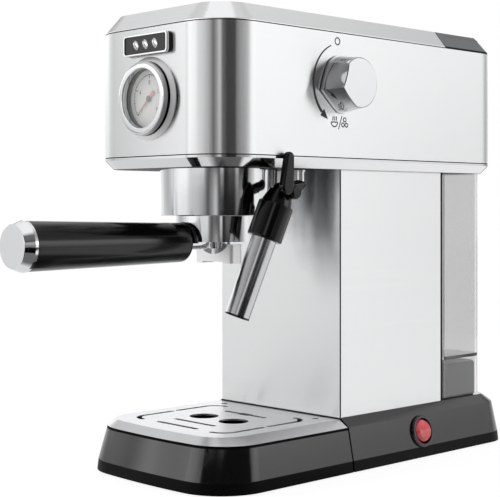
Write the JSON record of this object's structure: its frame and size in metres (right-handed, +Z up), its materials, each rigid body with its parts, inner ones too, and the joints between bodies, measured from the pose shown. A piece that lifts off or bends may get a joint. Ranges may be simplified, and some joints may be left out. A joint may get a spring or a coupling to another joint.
{
  "type": "espresso_machine",
  "caption": "Slim pump espresso machine: brushed steel head with pressure gauge, steam knob and frother wand, bayonet filter holder, drip tray, and lift-out rear water tank",
  "frame": {"origin": "Middle of the base's footprint at table level, on the machine's middle plane", "axes": "+Z is up, -Y is the front with the filter holder's handle, +X is the side with the steam knob"},
  "size_m": [0.1635, 0.4216, 0.3209],
  "materials": {
    "brushed": "brushed stainless sheet",
    "satin_cap": "satin stainless",
    "polished": "polished chrome",
    "grid_steel": "satin pressed steel",
    "gloss_black": "gloss black moulding",
    "satin_black": "satin black moulding",
    "lid_grey": "satin dark grey moulding",
    "dock_grey": "dark grey moulding",
    "smoked": "clear smoked moulding",
    "rubber": "black rubber",
    "red": "gloss red",
    "dial_white": "matt white print ground",
    "needle_red": "satin red paint",
    "clear_lens": "clear",
    "cast": "plain casting",
    "brass": "machined brass",
    "zinc": "plain plated sheet",
    "board_green": "circuit board",
    "hose": "translucent silicone"
  },
  "bodies": {
    "chassis": {"foot_ring": "rubber", "base_plate": "satin_black", "base_screws": "zinc", "base_shell": "gloss_black", "cord_gland": "satin_black", "switch_body": "gloss_black", "tank_dock": "dock_grey", "column_wrap": "brushed", "column_back": "satin_black", "chassis_frame": "zinc", "pump": "cast", "pump_mounts": "rubber", "control_board": "board_green", "suction_hose": "hose", "pressure_hose": "hose", "steam_hose": "hose", "steam_outlet_hose": "hose", "gauge_tube": "brass", "thermoblock": "cast", "group_head": "cast", "group_gasket": "rubber", "shower_screen": "polished", "shower_screw": "zinc", "group_skirt": "polished", "bottom_bezel": "polished", "head_sleeve": "brushed", "head_partition": "satin_black", "top_cover": "satin_cap", "nameplate": "gloss_black", "nameplate_rim": "polished", "gauge_boss": "polished", "gauge_case": "satin_black", "gauge_movement": "brass", "gauge_dial": "dial_white", "gauge_lens": "clear_lens", "gauge_bezel": "polished", "steam_valve": "brass", "valve_nut": "zinc", "wand_bush": "satin_black"},
    "needle": {"gauge_needle": "needle_red"},
    "knob": {"valve_spindle": "zinc", "steam_knob": "polished"},
    "rocker": {"rocker": "red"},
    "wand": {"steam_pipe": "polished", "wand_elbow": "gloss_black", "wand_sleeve": "gloss_black", "frother_nozzle": "satin_black"},
    "frother": {"frother_tube": "brushed"},
    "holder": {"holder_ring": "polished", "filter_basket": "brushed", "spout_block": "polished", "handle_stud": "zinc", "handle_grip": "satin_black", "handle_cap": "polished", "thumb_guard": "satin_black"},
    "tray": {"drip_tray": "gloss_black"},
    "grid": {"drip_grid": "grid_steel"},
    "tank": {"water_tank": "smoked", "tank_valve": "satin_black"},
    "lid": {"tank_lid": "lid_grey"}
  },
  "joints": [
    {"name": "needle_swing", "type": "hinge", "parent": "chassis", "child": "needle", "pos_m": [0, -0.153, 0.2594], "axis": [0, 1, 0], "range_deg": [0, 262], "stiffness_Nm_per_rad": 0.0002},
    {"name": "knob_turn", "type": "hinge", "parent": "chassis", "child": "knob", "pos_m": [0.07, -0.0375, 0.272], "axis": [1, 0, 0], "range_deg": [-95, 60]},
    {"name": "rocker_tip", "type": "hinge", "parent": "chassis", "child": "rocker", "pos_m": [0.06983, 0.0485, 0.01939], "axis": [0, 1, 0], "range_deg": [0, 16]},
    {"name": "wand_swing", "type": "hinge", "parent": "chassis", "child": "wand", "pos_m": [0.056, -0.0645, 0.213], "axis": [0, 0, 1], "range_deg": [0, 75]},
    {"name": "frother_slide", "type": "slide", "parent": "wand", "child": "frother", "axis": [-0.1439, -0.3204, -0.9363], "range_m": [0, 0.06]},
    {"name": "holder_turn", "type": "hinge", "parent": "chassis", "child": "holder", "pos_m": [0, -0.0895, 0.213], "axis": [0, 0, 1], "range_deg": [-45, 8]},
    {"name": "tray_slide", "type": "slide", "parent": "chassis", "child": "tray", "axis": [0, -1, 0], "range_m": [0, 0.12]},
    {"name": "grid_lift", "type": "slide", "parent": "tray", "child": "grid", "axis": [0, 0, 1], "range_m": [0, 0.05]},
    {"name": "tank_lift", "type": "slide", "parent": "chassis", "child": "tank", "axis": [0, 0, 1], "range_m": [0, 0.285]},
    {"name": "lid_lift", "type": "slide", "parent": "tank", "child": "lid", "axis": [0, 0, 1], "range_m": [0, 0.045]}
  ]
}
